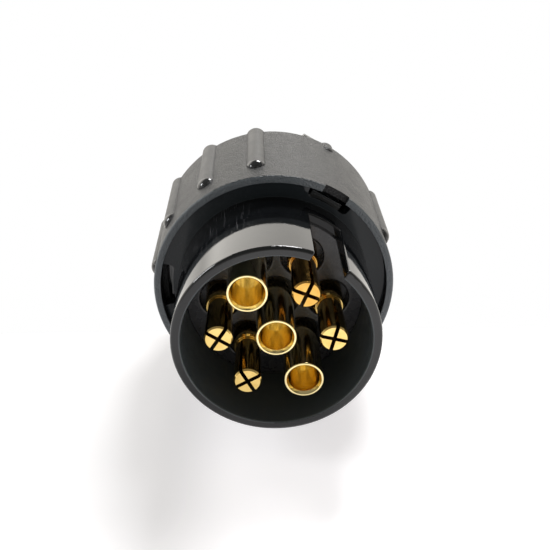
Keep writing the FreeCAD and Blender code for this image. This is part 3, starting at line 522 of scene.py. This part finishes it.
# ------------------------------------------------------------------ table, light, camera

TABLE_WIDTH = 6.0
TABLE_LENGTH = 3.0
TABLE_THICKNESS = 20 * MM
TABLE_EDGE = 49.5 * MM
TABLE_ROUNDING = 2 * MM
TABLE_GREYS = ((0.57, 0.57, 0.58), (0.59, 0.59, 0.60))
# Painted light on the table: its glow lifts the shadow in front, falls off to the left so the
# shadow there is deeper, and has a faint lavender tint for the shadow's colour.
GLOW_IN_FRONT = (-14 * MM, -42 * MM)
TABLE_GLOW = (0.60, 0.86)
SHADE_TO_THE_LEFT = (-6 * MM, -24 * MM)
GLOW_DROP = 0.30
GLOW_COLOUR = (1.0, 0.975, 0.99, 1.0)

# Ranges over the direction's X (left to right), Y (front to back) and Z (down to up).
SWEEP_BEHIND = (0.10, 0.55)
SWEEP_TOP = (0.58, 0.72, 1.0, 0.0)
SWEEP_FOOT = (-0.05, 0.17)
SWEEP_ACROSS = (-0.25, 0.30)
SWEEP_STRENGTH = 1.92
SWEEP = (1.14 * SWEEP_STRENGTH, 0.80 * SWEEP_STRENGTH)
WALL_HEIGHT = (0.0, 0.6)
SIDE = 0.8
CEILING = 0.25
BELOW = 0.6
SKY_COLOUR = (1.0, 0.965, 0.90, 1.0)
WHITE = (1.0, 1.0, 1.0, 1.0)

LAMP_TARGET = Vector((0.0, 0.03, 0.0))
LAMP_DISTANCE = 0.5
# Name, azimuth and elevation in degrees, width, height, power, colour.
LAMPS = (
    ("key", 20, 52, 0.17, 0.15, 2.3, (1.0, 1.0, 1.0)),
    ("left", -90, 29, 0.08, 0.18, 1.1, (0.96, 0.98, 1.0)),
)

SENSOR_WIDTH = 36.0
FOCAL_LENGTH = 54.98
CAMERA_PLACE = (-3.57 * MM, -134.03 * MM, 83.30 * MM)
CAMERA_AIM = (0.0216, 0.8894, -0.4566)
CAMERA_CLIP = (0.005, 20.0)
GLOSSY_BOUNCES = 10


def white_table():
    """A white slab that glows a little, though it is no lamp: painted light that keeps the shadow
    in front light, dims to the left so the shadow there is deeper, and tints it lavender.

    It ends just behind the grip, so that the lid can swing down past its edge.
    """
    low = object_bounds()[0]
    bpy.ops.mesh.primitive_cube_add(size=1.0)
    table = bpy.context.object
    table.name = "table"
    table.scale = (TABLE_WIDTH, TABLE_LENGTH, TABLE_THICKNESS)
    table.location = (0.0, TABLE_EDGE - TABLE_LENGTH / 2, low.z - TABLE_THICKNESS / 2)
    bpy.ops.object.transform_apply(location=True, rotation=False, scale=True)
    rounded = table.modifiers.new("edge", "BEVEL")
    rounded.width = TABLE_ROUNDING
    rounded.segments = 4
    m = Shader("white_table")
    x, y, _ = m.axes(m.place)
    # Painted light and shadow: more glow in front, less to the left.
    in_front = m.between(y, *GLOW_IN_FRONT, *TABLE_GLOW)
    painted_left_shade = m.between(x, *SHADE_TO_THE_LEFT, 0.0, GLOW_DROP)
    table.data.materials.append(m.finish(
        m.tint(m.patches(60 * MM, 3.0), *TABLE_GREYS),
        m.patches(20 * MM, 3.0, 0.3, 0.7, 0.30, 0.40),
        Emission_Color=GLOW_COLOUR,
        Emission_Strength=m.maths("SUBTRACT", in_front, painted_left_shade),
    ))
    table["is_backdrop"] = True


def sky():
    """A white sweep behind the object, dimmer walls at the sides, and a dark ceiling and front.

    The camera itself sees plain white where there is nothing.
    """
    world = bpy.data.worlds.new("studio")
    bpy.context.scene.world = world
    world.use_nodes = True
    t = Tree(world.node_tree)
    x, y, z = t.axes(t.node("ShaderNodeTexCoord").outputs["Generated"])
    behind = t.between(y, *SWEEP_BEHIND)
    upright = t.times(t.between(z, *SWEEP_TOP), t.between(z, *SWEEP_FOOT))
    sweep = t.times(t.times(behind, upright), t.between(x, *SWEEP_ACROSS, *SWEEP))
    side = t.between(z, *WALL_HEIGHT, SIDE, CEILING)
    below = t.times(behind, t.between(z, *SWEEP_FOOT, BELOW, 0.0))
    strength = t.maths("ADD", t.maths("ADD", sweep, side), below)
    background = t.tree.nodes["Background"]
    t.feed(background.inputs["Strength"], strength)
    t.feed(background.inputs["Color"], SKY_COLOUR)
    backdrop = t.node("ShaderNodeBackground")
    t.feed(backdrop.inputs["Color"], WHITE)
    seen = t.node("ShaderNodeMixShader")
    is_camera_ray = t.node("ShaderNodeLightPath").outputs["Is Camera Ray"]
    for socket, source in zip(seen.inputs, (is_camera_ray, background.outputs[0],
                                            backdrop.outputs[0])):
        t.feed(socket, source)
    t.feed(t.tree.nodes["World Output"].inputs["Surface"], seen.outputs[0])


def stand(name, data, place, aim):
    """A lamp or camera at a place, looking along the aim."""
    made = bpy.data.objects.new(name, data)
    bpy.context.scene.collection.objects.link(made)
    made.location = place
    made.rotation_mode = "QUATERNION"
    made.rotation_quaternion = Vector(aim).to_track_quat("-Z", "Y")
    return made


def softbox(name, azimuth, elevation, width, height, power, colour):
    """An area lamp aimed at the object; azimuth is from +Y towards +X."""
    a, e = math.radians(azimuth), math.radians(elevation)
    away = Vector((math.sin(a) * math.cos(e), math.cos(a) * math.cos(e), math.sin(e)))
    data = bpy.data.lights.new(name, "AREA")
    data.shape = "RECTANGLE"
    data.size, data.size_y = width, height
    data.energy = power
    data.color = colour
    place = LAMP_TARGET + away * LAMP_DISTANCE
    stand(name, data, place, LAMP_TARGET - place)


def photo_camera():
    data = bpy.data.cameras.new("camera")
    data.sensor_width = SENSOR_WIDTH
    data.lens = FOCAL_LENGTH
    data.clip_start, data.clip_end = CAMERA_CLIP
    bpy.context.scene.camera = stand("camera", data, CAMERA_PLACE, CAMERA_AIM)


bpy.context.scene.cycles.glossy_bounces = GLOSSY_BOUNCES
white_table()
sky()
for lamp in LAMPS:
    softbox(*lamp)
photo_camera()
bpy.context.scene.view_settings.view_transform = "Standard"
bpy.context.scene.view_settings.look = "None"
